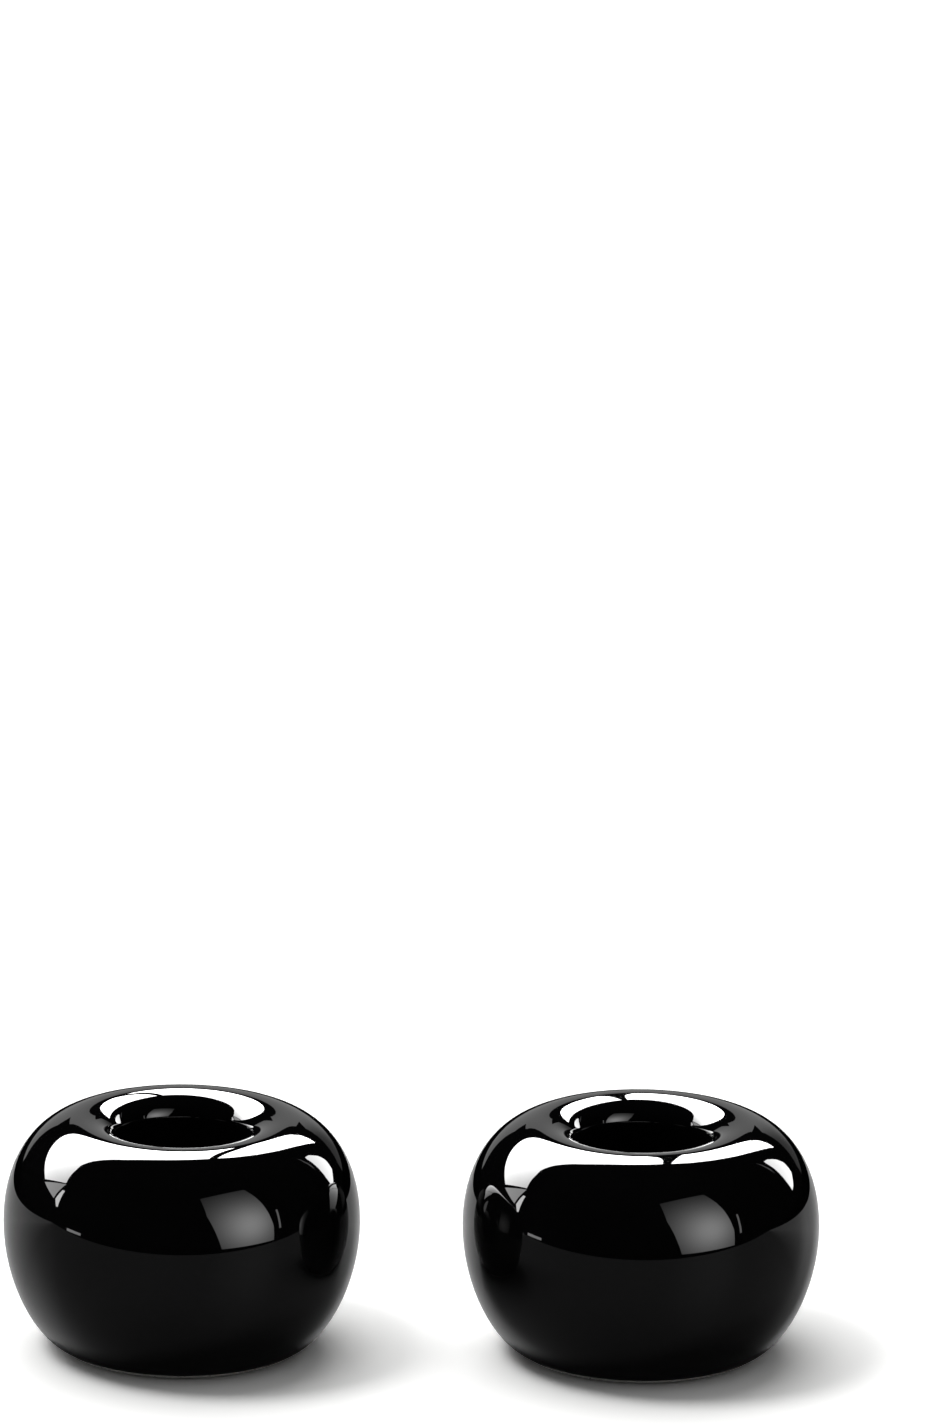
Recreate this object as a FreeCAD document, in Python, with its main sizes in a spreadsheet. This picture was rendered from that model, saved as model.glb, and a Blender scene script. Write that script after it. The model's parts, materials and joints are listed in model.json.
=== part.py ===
import FreeCAD, Part
import Sketcher
import os
import re

# A matched pair of free-standing toothbrush holders, each a squat glazed ring with one upright well.
# Millimetres, +Z up. The origin lies on the counter, midway between the two holders.

doc = FreeCAD.newDocument("ToothbrushHolderPair")

# Driving dimensions. A name that ends in share is a plain ratio, and every other value is a length.
SIZES = {
    # The pair
    "holder_spacing": 64.3,
    # One holder, measured over its glaze and from the counter
    "holder_diameter": 50.0,
    "holder_height": 32.8,
    "belly_height": 17.9,
    "foot_diameter": 34.6,
    "foot_slope_share": 0.30,
    # How full the wall's curves are: each handle as a share of the stretch that it shapes
    "foot_handle_share": 0.45,
    "belly_lower_share": 0.50,
    "belly_upper_share": 0.64,
    "crown_share": 0.515,
    "lip_crown_share": 0.52,
    "lip_wall_share": 0.67,
    "quarter_round_share": 0.5523,
    # Mouth and well
    "lip_width": 4.85,
    "lip_depth": 3.3,
    "well_diameter": 18.7,
    "well_corner_radius": 4.0,
    "well_floor_thickness": 4.6,
    # Glaze, and the bare clay that shows under its edge
    "glaze_thickness": 0.4,
    "bare_foot_height": 0.3,
    "foot_ring_width": 1.4,
    # Foot pad and the film that sticks it into the base
    "foot_rise": 0.4,
    "pad_thickness": 1.2,
    "pad_edge_radius": 0.2,
    "pad_clearance": 0.2,
    "film_thickness": 0.1,
    "film_inset": 0.3,
}

sheet = doc.addObject("Spreadsheet::Sheet", "Sizes")
for row, (alias, value) in enumerate(SIZES.items(), start=1):
    sheet.set(f"A{row}", alias)
    sheet.set(f"B{row}", str(value))
    sheet.setAlias(f"B{row}", alias)
doc.recompute()


def bound(formula):
    """A formula in the sheet's aliases, written so that any object of the document can read it."""
    return re.sub(r"\b[a-z_]+\b(?!\()", r"Sizes.\g<0>", formula)


# Places that several pieces share, as formulas in the sheet's aliases.
SLOPE_LENGTH = "sqrt(1 + foot_slope_share * foot_slope_share)"
FOOT_SINE = f"(foot_slope_share / {SLOPE_LENGTH})"
FOOT_COSINE = f"(1 / {SLOPE_LENGTH})"
CREST_RADIUS = "(well_diameter / 2 + lip_width)"
CLAY_FOOT_RADIUS = f"(foot_diameter / 2 - glaze_thickness * {FOOT_SINE})"
RECESS_RADIUS = f"({CLAY_FOOT_RADIUS} - foot_ring_width)"
RECESS_HEIGHT = "(pad_thickness + film_thickness)"
PAD_RADIUS = f"({RECESS_RADIUS} - pad_clearance)"
WELL_FLOOR_HEIGHT = f"({RECESS_HEIGHT} + well_floor_thickness + glaze_thickness)"
SIDE_PLACES = {"left": "-holder_spacing / 2", "right": "holder_spacing / 2"}


def wall_points(skin):
    """Radius and height of the wall's points from foot to well floor, `skin` under the finished face."""
    belly = f"(holder_diameter / 2 - {skin})"
    crown = f"(holder_height - {skin})"
    well = f"(well_diameter / 2 + {skin})"
    lip = "(holder_height - lip_depth)"
    corner = f"(well_corner_radius + {skin})"
    floor = f"({WELL_FLOOR_HEIGHT} - {skin})"
    edge_radius = f"(foot_diameter / 2 - {skin} * {FOOT_SINE})"
    edge_height = f"(foot_rise + bare_foot_height + {skin} * {FOOT_COSINE})"
    foot_handle = f"(foot_handle_share * ({belly} - {edge_radius}))"
    return {
        "glaze_edge": (edge_radius, edge_height),
        "foot_handle": (f"{edge_radius} + {foot_handle} * {FOOT_COSINE}",
                        f"{edge_height} + {foot_handle} * {FOOT_SINE}"),
        "belly_lower_handle": (belly, f"belly_height - belly_lower_share * (belly_height - {edge_height})"),
        "belly": (belly, "belly_height"),
        "belly_upper_handle": (belly, f"belly_height + belly_upper_share * ({crown} - belly_height)"),
        "crown_handle": (f"{CREST_RADIUS} + crown_share * ({belly} - {CREST_RADIUS})", crown),
        "crest": (CREST_RADIUS, crown),
        "lip_crown_handle": (f"{CREST_RADIUS} - lip_crown_share * ({CREST_RADIUS} - {well})", crown),
        "lip_wall_handle": (well, f"{lip} + lip_wall_share * ({crown} - {lip})"),
        "lip": (well, lip),
        "corner_top": (well, f"{floor} + {corner}"),
        "corner_wall_handle": (well, f"{floor} + {corner} * (1 - quarter_round_share)"),
        "corner_floor_handle": (f"{well} - {corner} * (1 - quarter_round_share)", floor),
        "floor_edge": (f"{well} - {corner}", floor),
        "floor_centre": ("0", floor),
    }


# The wall from the glaze's lower edge, over the crest and down to the middle of the well's floor.
# Two names are a straight run, and four are a cubic curve with its two handles.
WALL_RUNS = (
    ("glaze_edge", "foot_handle", "belly_lower_handle", "belly"),
    ("belly", "belly_upper_handle", "crown_handle", "crest"),
    ("crest", "lip_crown_handle", "lip_wall_handle", "lip"),
    ("lip", "corner_top"),
    ("corner_top", "corner_wall_handle", "corner_floor_handle", "floor_edge"),
    ("floor_edge", "floor_centre"),
)


# How a sketch numbers its axes, the ends of a run and the circles that stand for a curve's handles.
FLAT_AXIS, UPRIGHT_AXIS = range(-1, -3, -1)
START, END, CENTRE = range(1, 4)
FIRST_HANDLE, SECOND_HANDLE = range(2, 4)


def place_on_sketch(sketch, geometry, end, place):
    """Bind one point of the sketch to a radius and a height, or to an axis where they are zero."""
    for kind, axis, formula in zip(("DistanceX", "DistanceY"), (UPRIGHT_AXIS, FLAT_AXIS), place):
        if formula == "0":
            sketch.addConstraint(Sketcher.Constraint("PointOnObject", geometry, end, axis))
            continue
        value = sheet.evalExpression(bound(formula))
        index = sketch.addConstraint(Sketcher.Constraint(kind, FLAT_AXIS, START, geometry, end, value))
        sketch.setExpression(f"Constraints[{index}]", bound(formula))


def turned_body(label, points, runs):
    """A body turned about its own upright axis from a closed outline of runs between named points."""
    body = doc.addObject("PartDesign::Body", label)
    sketch = body.newObject("Sketcher::SketchObject", f"{label}_outline")
    upright = next(plane for plane in body.Origin.OriginFeatures if plane.Role == "XZ_Plane")
    sketch.AttachmentSupport = [(upright, "")]
    sketch.MapMode = "FlatFace"
    spots = {}
    for name, (radius, height) in points.items():
        spots[name] = FreeCAD.Vector(sheet.evalExpression(bound(radius)), sheet.evalExpression(bound(height)))
    drawn = []
    for run in runs:
        poles = [spots[name] for name in run]
        if len(run) == 2:
            drawn.append(sketch.addGeometry(Part.LineSegment(*poles), False))
        else:
            curve = Part.BezierCurve()
            curve.setPoles(poles)
            geometry = sketch.addGeometry(curve.toBSpline(), False)
            sketch.exposeInternalGeometry(geometry)
            for offset, name in zip((FIRST_HANDLE, SECOND_HANDLE), run[1:3]):
                place_on_sketch(sketch, geometry + offset, CENTRE, points[name])
            drawn.append(geometry)
    for geometry, following, run in zip(drawn, drawn[1:] + drawn[:1], runs):
        sketch.addConstraint(Sketcher.Constraint("Coincident", geometry, END, following, START))
        place_on_sketch(sketch, geometry, START, points[run[0]])
    turn = body.newObject("PartDesign::Revolution", f"{label}_turn")
    turn.Profile = sketch
    turn.ReferenceAxis = (sketch, ["V_Axis"])
    return body


def stoneware_body(label):
    """The fired clay: the whole wall under the glaze, a foot ring, and a recess for the pad."""
    points = wall_points("glaze_thickness")
    points["recess_centre"] = ("0", RECESS_HEIGHT)
    points["recess_corner"] = (RECESS_RADIUS, RECESS_HEIGHT)
    points["foot_inner_edge"] = (RECESS_RADIUS, "foot_rise")
    points["foot_outer_edge"] = (CLAY_FOOT_RADIUS, "foot_rise")
    corners = ("recess_centre", "recess_corner", "foot_inner_edge", "foot_outer_edge")
    base = ("floor_centre", *corners, "glaze_edge")
    return turned_body(label, points, WALL_RUNS + tuple(zip(base, base[1:])))


def glaze_coat(label):
    """The black glass skin, between the clay's face and the finished face."""
    points = wall_points("0")
    for name, place in wall_points("glaze_thickness").items():
        points[f"clay_{name}"] = place
    clay_runs = [tuple(f"clay_{name}" for name in reversed(run)) for run in reversed(WALL_RUNS)]
    runs = [*WALL_RUNS, ("floor_centre", "clay_floor_centre"), *clay_runs, ("clay_glaze_edge", "glaze_edge")]
    return turned_body(label, points, runs)


def foot_pad(label):
    """The soft disc that the holder stands on, with a rounded lower edge."""
    flat_radius = f"{PAD_RADIUS} - pad_edge_radius"
    handle = "pad_edge_radius * (1 - quarter_round_share)"
    points = {
        "top_centre": ("0", "pad_thickness"),
        "bottom_centre": ("0", "0"),
        "bottom_edge": (flat_radius, "0"),
        "bottom_handle": (f"{PAD_RADIUS} - {handle}", "0"),
        "side_handle": (PAD_RADIUS, handle),
        "side_edge": (PAD_RADIUS, "pad_edge_radius"),
        "top_edge": (PAD_RADIUS, "pad_thickness"),
    }
    runs = (
        ("top_centre", "bottom_centre"),
        ("bottom_centre", "bottom_edge"),
        ("bottom_edge", "bottom_handle", "side_handle", "side_edge"),
        ("side_edge", "top_edge"),
        ("top_edge", "top_centre"),
    )
    return turned_body(label, points, runs)


def pad_adhesive(label):
    """The double-sided film between the pad and the recess in the base."""
    film = doc.addObject("Part::Cylinder", label)
    film.setExpression("Radius", bound(f"{PAD_RADIUS} - film_inset"))
    film.setExpression("Height", bound("film_thickness"))
    film.setExpression("Placement.Base.z", bound("pad_thickness"))
    return film


pieces = []
for side, place in SIDE_PLACES.items():
    for make_piece in (stoneware_body, glaze_coat, pad_adhesive, foot_pad):
        piece = make_piece(f"{side}_{make_piece.__name__}")
        piece.setExpression("Placement.Base.x", bound(place))
        pieces.append(piece)
doc.recompute()

for item in doc.Objects:
    if "Invalid" in item.State or "Error" in item.State:
        raise RuntimeError(f"{item.Label} did not recompute: {item.State}")
    if item.TypeId == "Sketcher::SketchObject" and not item.FullyConstrained:
        raise RuntimeError(f"{item.Label} is not fully constrained")
for piece in pieces:
    if piece.Shape.isNull() or not piece.Shape.isValid() or len(piece.Shape.Solids) != 1:
        raise RuntimeError(f"{piece.Label} is not one valid solid")

os.makedirs("parts", exist_ok=True)
for piece in pieces:
    piece.Shape.exportStep(f"parts/{piece.Label}.step")
    box = piece.Shape.BoundBox
    print(f"{piece.Label}: {piece.Shape.Volume:.1f} mm3, "
          f"x {box.XMin:.2f} to {box.XMax:.2f}, z {box.ZMin:.2f} to {box.ZMax:.2f}")
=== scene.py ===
# %% [markdown]
# # Toothbrush holders in glossy black stoneware
# Two small holders stand side by side. Each is a squat ring of cast stoneware under a thick black
# glaze, with one upright well in the top and a rubber pad under the foot. The imported model gives the
# places and most of the sizes, so this lesson starts by loading it.

# %% Load the frame
import bmesh
import bpy
import json
import math
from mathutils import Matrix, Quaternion, Vector


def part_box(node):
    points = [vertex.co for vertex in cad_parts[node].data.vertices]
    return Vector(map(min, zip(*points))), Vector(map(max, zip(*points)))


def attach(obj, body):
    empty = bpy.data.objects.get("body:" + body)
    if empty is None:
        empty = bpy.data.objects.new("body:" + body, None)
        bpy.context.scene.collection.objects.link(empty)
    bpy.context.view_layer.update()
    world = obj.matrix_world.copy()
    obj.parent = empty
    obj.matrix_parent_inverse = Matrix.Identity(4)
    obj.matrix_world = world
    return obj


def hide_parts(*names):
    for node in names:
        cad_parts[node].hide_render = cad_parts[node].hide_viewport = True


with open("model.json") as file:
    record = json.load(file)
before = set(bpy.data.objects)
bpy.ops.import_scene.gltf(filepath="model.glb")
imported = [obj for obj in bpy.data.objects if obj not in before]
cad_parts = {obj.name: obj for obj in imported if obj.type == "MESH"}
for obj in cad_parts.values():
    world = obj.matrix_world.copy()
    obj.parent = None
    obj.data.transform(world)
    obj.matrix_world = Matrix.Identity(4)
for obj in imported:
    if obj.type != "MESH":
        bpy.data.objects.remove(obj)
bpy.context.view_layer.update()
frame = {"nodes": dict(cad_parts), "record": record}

# %% [markdown]
# ## Sizes
# The holders are turned forms, so a radius and a height place every point of their outlines. Most of
# these sizes are read from the frame: the boxes of the solids, and the well's own mount in the record.
# The few that a box can't tell are written here in millimetres, as on the drawing, with the fullness of
# each curve as a share.

# %% Read the sizes
MM = 0.001
SIDES = ("left", "right")
well_mount = next(mount for mount in frame["record"]["mounts"] if mount["name"] == "left_well")
well_half_length = well_mount["dims"]["length_mm"] * MM / 2
glaze_low, glaze_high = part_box("left_glaze_coat")
clay_low, clay_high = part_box("left_stoneware_body")
pad_low, pad_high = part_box("left_foot_pad")

holder_radius = (glaze_high.x - glaze_low.x) / 2
holder_height = glaze_high.z
glaze_thickness = glaze_high.z - clay_high.z
glaze_edge_height = glaze_low.z
foot_rise = clay_low.z
well_radius = well_mount["dims"]["r_mm"] * MM
lip_height = well_mount["pos_m"][2] + well_half_length
corner_height = well_mount["pos_m"][2] - well_half_length
pad_radius = (pad_high.x - pad_low.x) / 2
pad_thickness = pad_high.z

belly_height = 17.9 * MM
foot_radius = 17.3 * MM
crest_radius = 14.2 * MM
well_corner = 4.0 * MM
foot_ring_width = 1.4 * MM
recess_height = 1.3 * MM
foot_slope_share = 0.30
foot_handle_share = 0.45
belly_lower_share = 0.50
belly_upper_share = 0.64
crown_share = 0.515
lip_crown_share = 0.52
lip_wall_share = 0.67
quarter_round_share = 0.5523
print(f"holder {2000 * holder_radius:.1f} mm across, {1000 * holder_height:.1f} mm high")


# %% [markdown]
# ## One drawing for clay and glaze
# The glaze is a coat of even depth, so the clay's face is the finished face moved inwards. One function
# draws both: `skin` is how deep under the finished face the line runs. A line is a list of knots, and
# each knot holds its place and the two handles of a cubic curve, where None stands for a straight run.

# %% Draw the wall
def wall_knots(skin):
    """Knots of the wall, from the glaze's lower edge over the crest to the middle of the well's floor."""
    slope = Vector((1.0, foot_slope_share)).normalized()
    edge = Vector((foot_radius, glaze_edge_height)) + skin * Vector((-slope.y, slope.x))
    belly = holder_radius - skin
    crown = holder_height - skin
    well = well_radius + skin
    corner = well_corner + skin
    floor = corner_height - well_corner - skin
    corner_reach = corner * (1 - quarter_round_share)
    return [
        (None, edge, edge + foot_handle_share * (belly - edge.x) * slope),
        (Vector((belly, belly_height - belly_lower_share * (belly_height - edge.y))),
         Vector((belly, belly_height)),
         Vector((belly, belly_height + belly_upper_share * (crown - belly_height)))),
        (Vector((crest_radius + crown_share * (belly - crest_radius), crown)),
         Vector((crest_radius, crown)),
         Vector((crest_radius - lip_crown_share * (crest_radius - well), crown))),
        (Vector((well, lip_height + lip_wall_share * (crown - lip_height))),
         Vector((well, lip_height)),
         None),
        (None, Vector((well, floor + corner)), Vector((well, floor + corner_reach))),
        (Vector((well - corner_reach, floor)), Vector((well - corner, floor)), None),
        (None, Vector((0.0, floor)), None),
    ]


def straight(*places):
    """Knots that are joined by straight runs."""
    return [(None, Vector(place), None) for place in places]


def backwards(knots):
    """The same line, drawn from its other end."""
    return [(after, place, before) for before, place, after in reversed(knots)]


print("the finished wall has", len(wall_knots(0.0)), "knots")


# %% [markdown]
# ## Turning a line into a piece
# A mould for such a ring is turned on a lathe, and the mesh can be made the same way. Blender draws the
# line as a Bezier curve, which keeps the reflections free of kinks, and `spin` sweeps it once round the
# holder's own axis. Points on the axis meet there and are merged, and then the normals are turned
# outwards.

# %% Lathe helper
TURN_STEPS = 160
LINE_STEPS = 16
STRAIGHT_HANDLE_SHARE = 1 / 3
MERGE_DISTANCE = 1e-7
SHARP_ANGLE = math.radians(40)


def turned_piece(name, side, knots):
    """A piece spun from a line about the axis of one holder, riding on that holder."""
    low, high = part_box(f"{side}_glaze_coat")
    axis = Vector(((low.x + high.x) / 2, 0.0, 0.0))
    curve = bpy.data.curves.new(f"{name}_line", "CURVE")
    curve.dimensions = "3D"
    spline = curve.splines.new("BEZIER")
    spline.resolution_u = LINE_STEPS
    spline.bezier_points.add(len(knots) - 1)
    for index, (point, (before, place, after)) in enumerate(zip(spline.bezier_points, knots)):
        last = knots[max(index - 1, 0)][1]
        following = knots[min(index + 1, len(knots) - 1)][1]
        before = before or place.lerp(last, STRAIGHT_HANDLE_SHARE)
        after = after or place.lerp(following, STRAIGHT_HANDLE_SHARE)
        point.handle_left_type = point.handle_right_type = "FREE"
        point.co = axis + Vector((place.x, 0.0, place.y))
        point.handle_left = axis + Vector((before.x, 0.0, before.y))
        point.handle_right = axis + Vector((after.x, 0.0, after.y))
    drawn = bpy.data.objects.new(f"{name}_line", curve)
    mesh = bpy.data.meshes.new_from_object(drawn)
    bm = bmesh.new()
    bm.from_mesh(mesh)
    bmesh.ops.remove_doubles(bm, verts=bm.verts, dist=MERGE_DISTANCE)
    bmesh.ops.spin(bm, geom=bm.verts[:] + bm.edges[:], cent=axis, axis=(0, 0, 1), dvec=(0, 0, 0),
                   angle=2 * math.pi, steps=TURN_STEPS, use_merge=True)
    bmesh.ops.remove_doubles(bm, verts=bm.verts, dist=MERGE_DISTANCE)
    bmesh.ops.recalc_face_normals(bm, faces=bm.faces)
    for face in bm.faces:
        face.smooth = True
    bm.to_mesh(mesh)
    bm.free()
    bpy.data.objects.remove(drawn)
    mesh.name = name
    mesh.set_sharp_from_angle(angle=SHARP_ANGLE)
    piece = bpy.data.objects.new(name, mesh)
    bpy.context.scene.collection.objects.link(piece)
    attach(piece, f"{side}_holder")
    print(name, "has", len(mesh.polygons), "faces")
    return piece


# %% [markdown]
# ## The black glaze
# Glaze is poured and dipped on, and it melts to glass in the kiln. It covers the outside, rolls over
# the lip and lines the well, and it stops just above the foot in a rounded bead, because a glazed foot
# would stick to the kiln shelf. The coat is one closed skin: the finished face, the bead, and back
# along the clay.

# %% Make the glaze coats
BEAD_SHARE = 0.45


def glaze_knots():
    finished = wall_knots(0.0)
    against_clay = wall_knots(glaze_thickness)
    outer_edge = finished[0][1]
    inner_edge = against_clay[0][1]
    slope = Vector((1.0, foot_slope_share)).normalized()
    bulge = BEAD_SHARE * glaze_thickness * slope
    finished[0] = (outer_edge - bulge, outer_edge, finished[0][2])
    against_clay[0] = (inner_edge - bulge, inner_edge, against_clay[0][2])
    return backwards(finished) + against_clay


glaze_pieces = []
for side in SIDES:
    skin = turned_piece(f"{side}_glossy_glaze", side, glaze_knots())
    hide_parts(f"{side}_glaze_coat")
    glaze_pieces.append(skin)


# %% [markdown]
# ## The bare clay
# Under the glaze the body is cast stoneware. It shows only at the foot: a narrow ring that is wiped
# clean of glaze before firing, with its edges softened by a wet sponge, and a shallow recess inside it
# for the pad.

# %% Make the clay bodies
SPONGED_EDGE = 0.12 * MM


def clay_knots():
    wall = wall_knots(glaze_thickness)
    foot_edge = wall[0][1].x
    recess_edge = foot_edge - foot_ring_width
    foot = straight(
        (0.0, recess_height),
        (recess_edge, recess_height),
        (recess_edge, foot_rise + SPONGED_EDGE),
        (recess_edge + SPONGED_EDGE, foot_rise),
        (foot_edge - SPONGED_EDGE, foot_rise),
        (foot_edge, foot_rise + SPONGED_EDGE),
    )
    return foot + wall


clay_pieces = []
for side in SIDES:
    clay = turned_piece(f"{side}_bare_clay", side, clay_knots())
    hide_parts(f"{side}_stoneware_body")
    clay_pieces.append(clay)


# %% [markdown]
# ## The rubber pad
# A disc cut from black rubber sheet fills the recess and stands a little proud of the foot, so the hard
# clay never touches the counter. Its lower edge is rounded by the cut, and its underside is flat.

# %% Make the pads
PAD_EDGE = 0.2 * MM


def pad_knots():
    reach = PAD_EDGE * (1 - quarter_round_share)
    return [
        *straight((0.0, pad_thickness), (pad_radius, pad_thickness)),
        (None, Vector((pad_radius, PAD_EDGE)), Vector((pad_radius, reach))),
        (Vector((pad_radius - reach, 0.0)), Vector((pad_radius - PAD_EDGE, 0.0)), None),
        *straight((0.0, 0.0)),
    ]


pad_pieces = []
for side in SIDES:
    pad = turned_piece(f"{side}_rubber_pad", side, pad_knots())
    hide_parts(f"{side}_foot_pad")
    pad_pieces.append(pad)


# %% [markdown]
# ## Materials
# A material is a small graph of nodes. One function adds a node, sets it and links it, so each finish
# below reads as a list of what lies under what. Colours are written as on screen, in sRGB, and turned
# to linear.

# %% Material helpers
def colour(hex_code):
    """An sRGB hex colour as linear RGBA."""
    channels = [int(hex_code[index:index + 2], 16) / 255 for index in (1, 3, 5)]
    return (*[c / 12.92 if c <= 0.04045 else ((c + 0.055) / 1.055) ** 2.4 for c in channels], 1.0)


def new_material(name):
    """A node material and its shader."""
    material = bpy.data.materials.new(name)
    material.use_nodes = True
    return material, material.node_tree.nodes["Principled BSDF"]


def add(material, kind, settings=None, inputs=None, links=None):
    """Add one node: its own settings, the values of its inputs, and what is plugged into them."""
    node = material.node_tree.nodes.new(kind)
    for key, value in (settings or {}).items():
        setattr(node, key, value)
    for key, value in (inputs or {}).items():
        node.inputs[key].default_value = value
    for key, socket in (links or {}).items():
        material.node_tree.links.new(socket, node.inputs[key])
    return node


def per_metre(size_mm):
    """Texture scale for a pattern whose cells are about this many millimetres wide."""
    return 1 / (size_mm * MM)


# %% [markdown]
# ### Black glaze
# A fired glaze is coloured glass: nearly black in depth, with a mirror face of IOR 1.5. What the eye
# sees is almost only reflection, so the detail is in the face: it flows in long soft waves and has a
# faint orange peel. Both stay slight, because this face is very even.

# %% Black glaze
WAVE_MM = 11.0
PEEL_MM = 0.9
WAVE_DEPTH_MM = 0.006
PEEL_DEPTH_MM = 0.0002
GLAZE_ROUGHNESS = (0.012, 0.03)
GLAZE_IOR = 1.5

black_glaze, shader = new_material("fired black glaze")
place = add(black_glaze, "ShaderNodeTexCoord").outputs["Object"]
waves = add(black_glaze, "ShaderNodeTexNoise", inputs={"Scale": per_metre(WAVE_MM), "Detail": 1.0},
            links={"Vector": place})
peel = add(black_glaze, "ShaderNodeTexNoise", inputs={"Scale": per_metre(PEEL_MM), "Detail": 2.0},
           links={"Vector": place})
wave_bump = add(black_glaze, "ShaderNodeBump", inputs={"Strength": 1.0, "Distance": WAVE_DEPTH_MM * MM},
                links={"Height": waves.outputs["Fac"]})
peel_bump = add(black_glaze, "ShaderNodeBump", inputs={"Strength": 1.0, "Distance": PEEL_DEPTH_MM * MM},
                links={"Height": peel.outputs["Fac"], "Normal": wave_bump.outputs["Normal"]})
depth = add(black_glaze, "ShaderNodeMix", {"data_type": "RGBA"}, links={"Factor": waves.outputs["Fac"]})
depth.inputs["A"].default_value = colour("#030303")
depth.inputs["B"].default_value = colour("#060607")
sheen = add(black_glaze, "ShaderNodeMapRange",
            inputs={"To Min": GLAZE_ROUGHNESS[0], "To Max": GLAZE_ROUGHNESS[1]},
            links={"Value": peel.outputs["Fac"]})
black_glaze.node_tree.links.new(depth.outputs["Result"], shader.inputs["Base Color"])
black_glaze.node_tree.links.new(sheen.outputs["Result"], shader.inputs["Roughness"])
black_glaze.node_tree.links.new(peel_bump.outputs["Normal"], shader.inputs["Normal"])
shader.inputs["IOR"].default_value = GLAZE_IOR
for piece in glaze_pieces:
    piece.data.materials.append(black_glaze)
print("glaze waves every", WAVE_MM, "mm")

# %% [markdown]
# ### Bare stoneware
# Fired stoneware is dense, matt and a little sandy. It is a pale grey with darker specks of iron, and
# it scatters light evenly, so a rough face and a fine grit are enough.

# %% Bare stoneware
GRIT_MM = 0.25
GRIT_DEPTH_MM = 0.03
SPECK_MM = 0.7
SPECK_FADE = (0.10, 0.22)
CLAY_ROUGHNESS = 0.85

stoneware, shader = new_material("bare fired stoneware")
place = add(stoneware, "ShaderNodeTexCoord").outputs["Object"]
grit = add(stoneware, "ShaderNodeTexNoise", inputs={"Scale": per_metre(GRIT_MM), "Detail": 4.0},
           links={"Vector": place})
specks = add(stoneware, "ShaderNodeTexVoronoi", inputs={"Scale": per_metre(SPECK_MM)},
             links={"Vector": place})
speck_mask = add(stoneware, "ShaderNodeMapRange",
                 inputs={"From Min": SPECK_FADE[0], "From Max": SPECK_FADE[1]},
                 links={"Value": specks.outputs["Distance"]})
body_tone = add(stoneware, "ShaderNodeMix", {"data_type": "RGBA"}, links={"Factor": grit.outputs["Fac"]})
body_tone.inputs["A"].default_value = colour("#b2b1ae")
body_tone.inputs["B"].default_value = colour("#d2d1ce")
speckled = add(stoneware, "ShaderNodeMix", {"data_type": "RGBA"},
               links={"Factor": speck_mask.outputs["Result"], "B": body_tone.outputs["Result"]})
speckled.inputs["A"].default_value = colour("#48423c")
grit_bump = add(stoneware, "ShaderNodeBump", inputs={"Strength": 1.0, "Distance": GRIT_DEPTH_MM * MM},
                links={"Height": grit.outputs["Fac"]})
stoneware.node_tree.links.new(speckled.outputs["Result"], shader.inputs["Base Color"])
stoneware.node_tree.links.new(grit_bump.outputs["Normal"], shader.inputs["Normal"])
shader.inputs["Roughness"].default_value = CLAY_ROUGHNESS
for piece in clay_pieces:
    piece.data.materials.append(stoneware)
print("clay specks every", SPECK_MM, "mm")

# %% [markdown]
# ### Rubber sheet
# Black rubber sheet is pressed between cloths or plates, which leaves a fine even grain. It is never
# quite black, and its gloss is low and a little patchy.

# %% Rubber sheet
GRAIN_MM = 0.35
GRAIN_DEPTH_MM = 0.03
PATCH_MM = 6.0
RUBBER_ROUGHNESS = (0.55, 0.8)

rubber, shader = new_material("black rubber sheet")
place = add(rubber, "ShaderNodeTexCoord").outputs["Object"]
grain = add(rubber, "ShaderNodeTexVoronoi", inputs={"Scale": per_metre(GRAIN_MM)}, links={"Vector": place})
patches = add(rubber, "ShaderNodeTexNoise", inputs={"Scale": per_metre(PATCH_MM), "Detail": 3.0},
              links={"Vector": place})
rubber_tone = add(rubber, "ShaderNodeMix", {"data_type": "RGBA"}, links={"Factor": patches.outputs["Fac"]})
rubber_tone.inputs["A"].default_value = colour("#131314")
rubber_tone.inputs["B"].default_value = colour("#202021")
rubber_gloss = add(rubber, "ShaderNodeMapRange",
                   inputs={"To Min": RUBBER_ROUGHNESS[0], "To Max": RUBBER_ROUGHNESS[1]},
                   links={"Value": patches.outputs["Fac"]})
grain_bump = add(rubber, "ShaderNodeBump", inputs={"Strength": 1.0, "Distance": GRAIN_DEPTH_MM * MM},
                 links={"Height": grain.outputs["Distance"]})
rubber.node_tree.links.new(rubber_tone.outputs["Result"], shader.inputs["Base Color"])
rubber.node_tree.links.new(rubber_gloss.outputs["Result"], shader.inputs["Roughness"])
rubber.node_tree.links.new(grain_bump.outputs["Normal"], shader.inputs["Normal"])
for piece in pad_pieces:
    piece.data.materials.append(rubber)
print("rubber grain every", GRAIN_MM, "mm")

# %% [markdown]
# ### Adhesive film
# The film between pad and clay is hidden once the pad is pressed home. It keeps its own solid from the
# frame, with the milky, slightly mottled look of an acrylic adhesive.

# %% Adhesive film
MOTTLE_MM = 2.5
FILM_ROUGHNESS = 0.4

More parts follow.
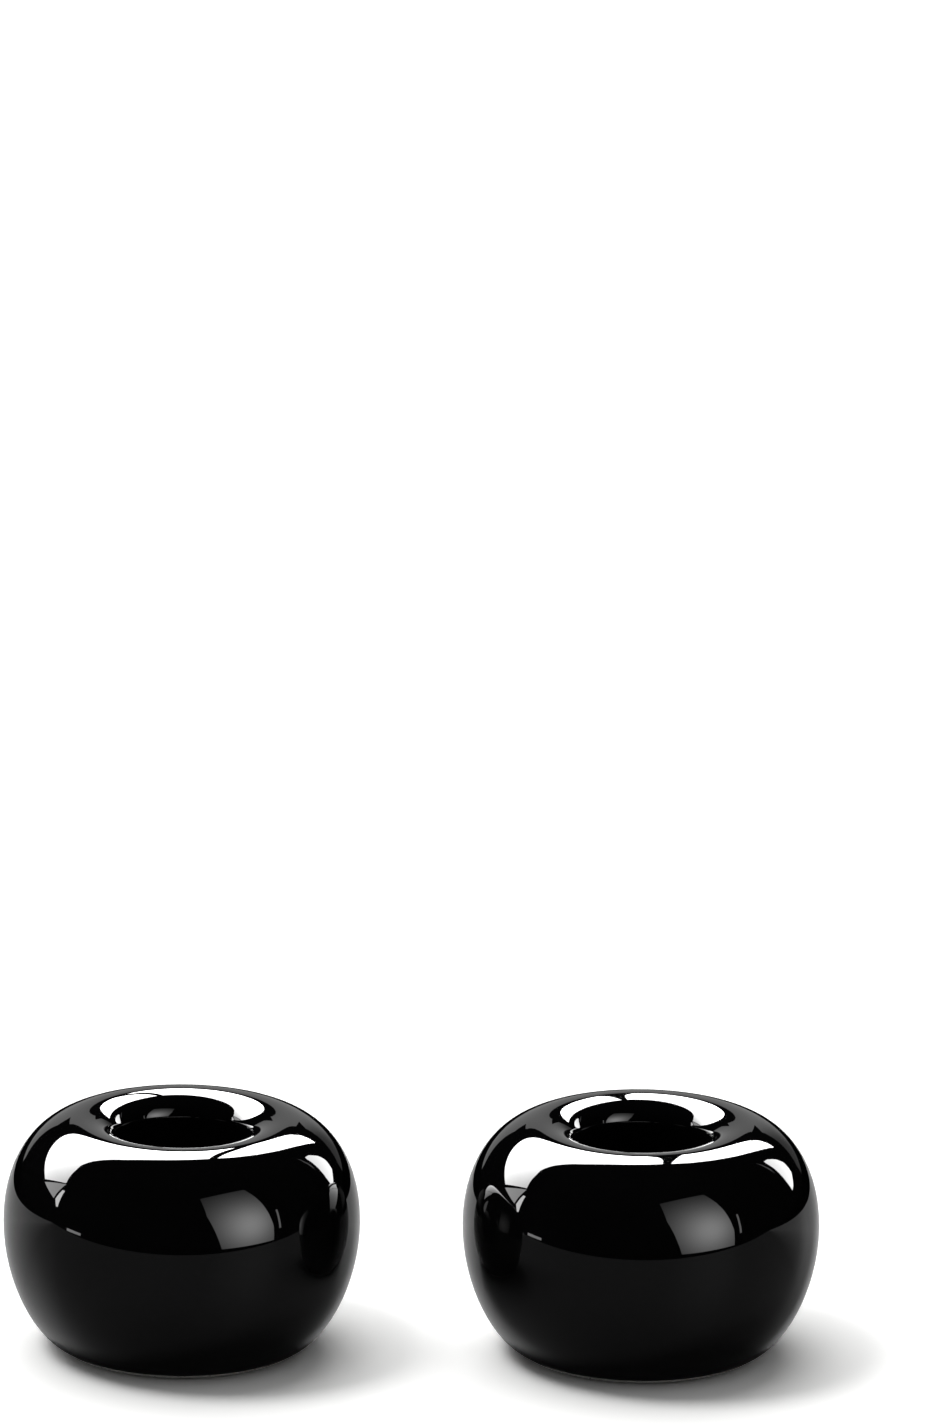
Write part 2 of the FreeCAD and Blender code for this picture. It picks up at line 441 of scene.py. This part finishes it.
adhesive, shader = new_material("acrylic adhesive film")
place = add(adhesive, "ShaderNodeTexCoord").outputs["Object"]
mottle = add(adhesive, "ShaderNodeTexNoise", inputs={"Scale": per_metre(MOTTLE_MM), "Detail": 3.0},
             links={"Vector": place})
milk = add(adhesive, "ShaderNodeMix", {"data_type": "RGBA"}, links={"Factor": mottle.outputs["Fac"]})
milk.inputs["A"].default_value = colour("#cfc8b6")
milk.inputs["B"].default_value = colour("#e6e1d3")
adhesive.node_tree.links.new(milk.outputs["Result"], shader.inputs["Base Color"])
shader.inputs["Roughness"].default_value = FILM_ROUGHNESS
for side in SIDES:
    film = frame["nodes"][f"{side}_pad_adhesive"]
    film.data.materials.clear()
    film.data.materials.append(adhesive)
print("adhesive films keep their solids")

# %% [markdown]
# ## The camera
# The photograph looks straight at the pair through a long lens, down a little, with plenty of empty
# space above. The camera is placed by its elevation and its distance from a point on the counter. It
# aims above that point, so that the holders sit at the bottom of the frame, and it is rolled a little,
# as a hand-set tripod is.

# %% Camera
CAMERA_ELEVATION = math.radians(18.95)
CAMERA_DISTANCE = 2247.8 * MM
CAMERA_ROLL = math.radians(0.61)
COUNTER_POINT = Vector((6.62 * MM, 0.0, 0.0))
AIM_HEIGHT = 92.29 * MM
FRAME_HEIGHT_PX = 1428
FOCAL_LENGTH_PX = 16000
SENSOR_MM = 36.0


def direction(azimuth, elevation):
    """Unit vector for an azimuth, where 0 is straight behind the holders and 90 is to their right."""
    level = math.cos(elevation)
    return Vector((level * math.sin(azimuth), level * math.cos(azimuth), math.sin(elevation)))


camera_data = bpy.data.cameras.new("photo_camera")
camera_data.sensor_fit = "VERTICAL"
camera_data.sensor_height = SENSOR_MM
camera_data.lens = FOCAL_LENGTH_PX / FRAME_HEIGHT_PX * SENSOR_MM
camera = bpy.data.objects.new("photo_camera", camera_data)
camera.location = COUNTER_POINT + CAMERA_DISTANCE * direction(math.pi, CAMERA_ELEVATION)
aim = COUNTER_POINT + Vector((0.0, 0.0, AIM_HEIGHT)) - camera.location
roll = Quaternion((0.0, 0.0, 1.0), CAMERA_ROLL)
camera.rotation_euler = (aim.to_track_quat("-Z", "Y") @ roll).to_euler()
bpy.context.scene.collection.objects.link(camera)
bpy.context.scene.camera = camera
print("lens", round(camera_data.lens, 1), "mm, camera at", [round(value, 3) for value in camera.location])

# %% [markdown]
# ## The floor
# The holders stand on a wide white sweep. For the camera it is exposed well up to white, as in the
# photograph, and it takes the soft shadows. What the glaze mirrors there is a painted reflection: glossy
# rays alone see a grey strip, painted lighter towards the back, with painted black past its edges and a
# faint sheen, and the light on the holders comes off plain white. From below the sweep is clear, so that
# the feet can be looked at.

# %% Floor
FLOOR_HALF_WIDTH = 6.0
SWEEP_WHITE = "#f8f8f7"
SWEEP_EXPOSURE = 1.54
# Painted reflection colours, seen by glossy rays alone: a grey strip, painted lighter towards the back.
PAINTED_REFLECTION_TONE = "#646464"
PAINTED_REFLECTION_BACK_TONE = "#a6a6a6"
PAINTED_REFLECTION_EDGES_MM = (-370, 5, 50, 140)
TABLE_SHEEN = 0.03
TABLE_ROUGHNESS = 0.38

bm = bmesh.new()
bmesh.ops.create_grid(bm, x_segments=4, y_segments=4, size=FLOOR_HALF_WIDTH)
floor_mesh = bpy.data.meshes.new("white_sweep")
bm.to_mesh(floor_mesh)
bm.free()
floor = bpy.data.objects.new("white_sweep", floor_mesh)
bpy.context.scene.collection.objects.link(floor)

sweep, shader = new_material("white sweep")
shader_tree = sweep.node_tree
shader_tree.nodes.remove(shader)
place = add(sweep, "ShaderNodeTexCoord").outputs["Object"]
axes = add(sweep, "ShaderNodeSeparateXYZ", links={"Vector": place})
# Painted reflection strip for glossy rays: darker in front, painted lighter towards the back.
front_mm, turn_mm, lighter_mm, back_mm = PAINTED_REFLECTION_EDGES_MM
depth = add(sweep, "ShaderNodeMapRange", inputs={"From Min": turn_mm * MM, "From Max": lighter_mm * MM},
            links={"Value": axes.outputs["Y"]})
strip = add(sweep, "ShaderNodeMath", {"operation": "COMPARE"},
            {1: (front_mm + back_mm) / 2 * MM, 2: (back_mm - front_mm) / 2 * MM}, {0: axes.outputs["Y"]})
painted_reflection_colour = add(sweep, "ShaderNodeMix", {"data_type": "RGBA"}, links={"Factor": depth.outputs["Result"]})
painted_reflection_colour.inputs["A"].default_value = colour(PAINTED_REFLECTION_TONE)
painted_reflection_colour.inputs["B"].default_value = colour(PAINTED_REFLECTION_BACK_TONE)
ray = add(sweep, "ShaderNodeLightPath")
exposed = add(sweep, "ShaderNodeMix", {"data_type": "RGBA"}, links={"Factor": ray.outputs["Is Camera Ray"]})
exposed.inputs["A"].default_value = colour(SWEEP_WHITE)
exposed.inputs["B"].default_value = [SWEEP_EXPOSURE * channel for channel in colour(SWEEP_WHITE)]
paper = add(sweep, "ShaderNodeBsdfDiffuse", links={"Color": exposed.outputs["Result"]})
painted_reflection_diffuse = add(sweep, "ShaderNodeBsdfDiffuse", links={"Color": painted_reflection_colour.outputs["Result"]})
table_sheen = add(sweep, "ShaderNodeBsdfGlossy", inputs={"Roughness": TABLE_ROUGHNESS})
satin = add(sweep, "ShaderNodeMixShader", inputs={"Fac": TABLE_SHEEN},
            links={1: painted_reflection_diffuse.outputs["BSDF"], 2: table_sheen.outputs["BSDF"]})
# Painted black reflection past the strip's edges, seen by glossy rays alone.
painted_black_reflection = add(sweep, "ShaderNodeBsdfDiffuse", inputs={"Color": colour("#000000")})
mirrored = add(sweep, "ShaderNodeMixShader",
               links={"Fac": strip.outputs["Value"], 1: painted_black_reflection.outputs["BSDF"],
                      2: satin.outputs["Shader"]})
either = add(sweep, "ShaderNodeMixShader",
             links={"Fac": ray.outputs["Is Glossy Ray"], 1: paper.outputs["BSDF"],
                    2: mirrored.outputs["Shader"]})
face = add(sweep, "ShaderNodeNewGeometry")
clear = add(sweep, "ShaderNodeBsdfTransparent")
one_sided = add(sweep, "ShaderNodeMixShader",
                links={"Fac": face.outputs["Backfacing"], 1: either.outputs["Shader"],
                       2: clear.outputs["BSDF"]})
shader_tree.links.new(one_sided.outputs["Shader"], shader_tree.nodes["Material Output"].inputs["Surface"])
floor_mesh.materials.append(sweep)
print("floor", 2 * FLOOR_HALF_WIDTH, "m wide")

# %% [markdown]
# ## Light
# A large soft key stands high behind the pair on the left, which throws each shadow forward to the
# right. A smaller lamp on the left gives the shadow its firmer edge, and the room's white ceiling fills
# it in. A sun lamp with a wide disc gives such a light at the same strength all over the floor. The
# lamps carry the light, and the softboxes further down carry what the glaze mirrors.

# %% Key and fill
# Each light: its strength, then azimuth, elevation and disc in degrees.
SUNS = {
    "key_light": (1.95, -27.5, 58.0, 76.0),
    "side_light": (0.74, -88.0, 63.5, 18.0),
}
FILL_LOW = 0.03
FILL_OVERHEAD = 0.32
FILL_RISE = (0.05, 0.8)
ROOM_IN_GLAZE = 0.002

for name, (strength, azimuth, elevation, disc) in SUNS.items():
    sun_data = bpy.data.lights.new(name, "SUN")
    sun_data.energy = strength
    sun_data.angle = math.radians(disc)
    sun = bpy.data.objects.new(name, sun_data)
    towards = direction(math.radians(azimuth), math.radians(elevation))
    sun.rotation_euler = (-towards).to_track_quat("-Z", "Y").to_euler()
    sun.visible_glossy = False
    bpy.context.scene.collection.objects.link(sun)

world = bpy.data.worlds.new("studio_room")
world.use_nodes = True
bpy.context.scene.world = world
background = world.node_tree.nodes["Background"]
ray = add(world, "ShaderNodeLightPath")
place = add(world, "ShaderNodeTexCoord").outputs["Generated"]
axes = add(world, "ShaderNodeSeparateXYZ", links={"Vector": place})
fill = add(world, "ShaderNodeMapRange", {"interpolation_type": "SMOOTHSTEP"},
           {"From Min": FILL_RISE[0], "From Max": FILL_RISE[1], "To Min": FILL_LOW, "To Max": FILL_OVERHEAD},
           {"Value": axes.outputs["Z"]})
seen = add(world, "ShaderNodeMapRange", inputs={"To Max": 1.0},
           links={"Value": ray.outputs["Is Camera Ray"], "To Min": fill.outputs["Result"]})
mirrored = add(world, "ShaderNodeMapRange", inputs={"To Max": ROOM_IN_GLAZE},
               links={"Value": ray.outputs["Is Glossy Ray"], "To Min": seen.outputs["Result"]})
world.node_tree.links.new(mirrored.outputs["Result"], background.inputs["Strength"])
background.inputs["Color"].default_value = colour("#ffffff")
print("lights:", ", ".join(SUNS))

# %% [markdown]
# ## Softboxes
# A black mirror shows nothing but what stands round it, so the lights are drawn for it with care. Each
# softbox is a flat panel, set out by the directions of its corners as the holders see them, in degrees
# of azimuth and elevation. The panels are seen by glossy rays alone, so they shape the gloss and leave
# the lighting as it is.

# %% Softboxes
PANEL_DISTANCE = 4.0
# Each panel: its strength, then the directions of its corners.
PANELS = {
    "side_flap": (4.5, [(-83, 29.2), (-83, 14.5), (-67, 17)]),
    "left_strip": (10.0, [(-87.2, 24.5), (-85, 24), (-84.7, 15), (-88.3, 10.8), (-89.7, 11.3)]),
    "right_softbox": (10.3, [(45, 33), (47.2, 31.7), (50.8, 26.7), (54, 20), (55.5, 14), (55.5, 7),
                             (51.7, 7.5), (44.2, 10.8), (41.5, 16.7), (41, 23.3), (42.2, 30.5)]),
    "boom_arm": (0.8, [(47, 38.5), (51.5, 34), (54.5, 29), (56.5, 24), (55.5, 24), (53.5, 29),
                       (50.5, 33.5)]),
    "window_side": (2.0, [(109.5, 22), (111, 22), (113, 7), (111.5, 7)]),
    "far_doorway": (3.5, [(-113, 1.7), (-102, 1.7), (-102, -0.5), (-113, -0.5)]),
    "white_horizon": (5.0, [(-14, 6), (14, 6), (14, 0), (-14, 0)]),
}


def panel(name, corners, distance=PANEL_DISTANCE):
    """A flat panel through corner directions, kept out of every ray but the glossy ones."""
    bm = bmesh.new()
    for azimuth, elevation in corners:
        bm.verts.new(distance * direction(math.radians(azimuth), math.radians(elevation)))
    bmesh.ops.contextual_create(bm, geom=bm.verts)
    mesh = bpy.data.meshes.new(name)
    bm.to_mesh(mesh)
    bm.free()
    box = bpy.data.objects.new(name, mesh)
    box.visible_camera = box.visible_diffuse = box.visible_transmission = box.visible_shadow = False
    bpy.context.scene.collection.objects.link(box)
    return box


def glow(name, strength):
    """An evenly lit diffuser cloth."""
    material = bpy.data.materials.new(name)
    material.use_nodes = True
    material.node_tree.nodes.remove(material.node_tree.nodes["Principled BSDF"])
    cloth = add(material, "ShaderNodeEmission", inputs={"Strength": strength})
    out = material.node_tree.nodes["Material Output"]
    material.node_tree.links.new(cloth.outputs["Emission"], out.inputs["Surface"])
    return material, cloth


for name, (strength, corners) in PANELS.items():
    box = panel(name, corners)
    material, cloth = glow(f"{name} cloth", strength)
    box.data.materials.append(material)
print(len(PANELS), "softboxes")

# %% [markdown]
# ### Lamps behind a cloth
# The largest softbox hangs far behind the pair, in two lengths with a narrow seam, and one more stands
# in front on the right, turned low. A lamp sits a good way behind each cloth, so the cloth is brightest
# straight in front of the lamp, and it fades with the fourth power of the cosine of the angle from
# there.

# %% Softboxes with a lamp spot
FAR_DISTANCE = 40.0
# Each softbox: its strength, its distance, the lamp's depth behind the cloth as a share of that distance,
# the direction of the lamp, and the directions of the corners.
LAMPS = {
    "main_softbox": (30.0, FAR_DISTANCE, 1.2, (-8, 40),
                     [(-81.5, 29.7), (-70, 42), (-53, 50), (-37, 55.8), (-26, 58), (-15, 57.5), (-1, 55),
                      (6.8, 53), (0.9, 25.7), (-10, 26.6), (-30, 25.8), (-50, 22), (-65, 18)]),
    "main_softbox_end": (30.0, FAR_DISTANCE, 1.2, (-8, 40),
                         [(9.2, 52.6), (15, 52), (21.5, 48.5), (26, 42), (28, 31.7), (28, 20.8),
                          (20.8, 24.2), (13.3, 26.3), (2.3, 26.2)]),
    "window_softbox": (5.5, PANEL_DISTANCE, 0.4, (134, 17.5),
                       [(119, 51.5), (163.5, 50.8), (161.5, 30), (153.5, -2), (118.3, -1), (116.7, 10),
                        (117.5, 31.7)]),
}

for name, (strength, distance, depth_share, lamp_angles, corners) in LAMPS.items():
    box = panel(name, corners, distance)
    material, cloth = glow(f"{name} cloth", strength)
    place = add(material, "ShaderNodeTexCoord").outputs["Object"]
    spot = distance * direction(*(math.radians(angle) for angle in lamp_angles))
    lamp_depth = distance * depth_share
    tangent = add(material, "ShaderNodeMapping",
                  inputs={"Location": -spot / lamp_depth, "Scale": (1 / lamp_depth,) * 3},
                  links={"Vector": place})
    tangent_squared = add(material, "ShaderNodeVectorMath", {"operation": "DOT_PRODUCT"},
                          links={0: tangent.outputs["Vector"], 1: tangent.outputs["Vector"]})
    secant_squared = add(material, "ShaderNodeMath", {"operation": "ADD"}, {1: 1.0},
                         {0: tangent_squared.outputs["Value"]})
    cosine_fourth = add(material, "ShaderNodeMath", {"operation": "POWER"}, {1: -2.0},
                        {0: secant_squared.outputs["Value"]})
    fall = add(material, "ShaderNodeMath", {"operation": "MULTIPLY"}, {1: strength},
               {0: cosine_fourth.outputs["Value"]})
    material.node_tree.links.new(fall.outputs["Value"], cloth.inputs["Strength"])
    box.data.materials.append(material)
print(len(LAMPS), "softboxes with a lamp spot")

# %% [markdown]
# ### The backdrop
# Straight behind the pair hangs a grey cloth, open under its middle like a drawn curtain. It gives the
# crown beside each mouth its soft grey, and it gets darker to the right, away from the key. The opening
# keeps the thin far line of each lip dark.

# %% Backdrop
BACKDROP_CORNERS = [(-32, -8), (-32, 2), (-24, 9), (-16, 16), (-10, 20), (0, 21), (8, 20.5), (14, 18.5),
                    (20, 16), (27, 11), (34, 4), (34, -8), (13, -8), (8, 16.5), (-8, 16.5), (-13, -8)]
BACKDROP_LIT = 0.5
BACKDROP_DARK = 0.14
BACKDROP_FADE = (0.4, 1.6)

backdrop = panel("grey_backdrop", BACKDROP_CORNERS)
material, cloth = glow("backdrop cloth", BACKDROP_LIT)
place = add(material, "ShaderNodeTexCoord").outputs["Object"]
axes = add(material, "ShaderNodeSeparateXYZ", links={"Vector": place})
fade = add(material, "ShaderNodeMapRange", {"interpolation_type": "SMOOTHSTEP"},
           {"From Min": BACKDROP_FADE[0], "From Max": BACKDROP_FADE[1], "To Min": BACKDROP_LIT,
            "To Max": BACKDROP_DARK}, {"Value": axes.outputs["X"]})
material.node_tree.links.new(fade.outputs["Result"], cloth.inputs["Strength"])
backdrop.data.materials.append(material)
print("grey backdrop behind the pair")

# %% [markdown]
# ## View settings
# The standard view transform shows colours as they are written.

# %% Finish
bpy.context.scene.view_settings.view_transform = "Standard"
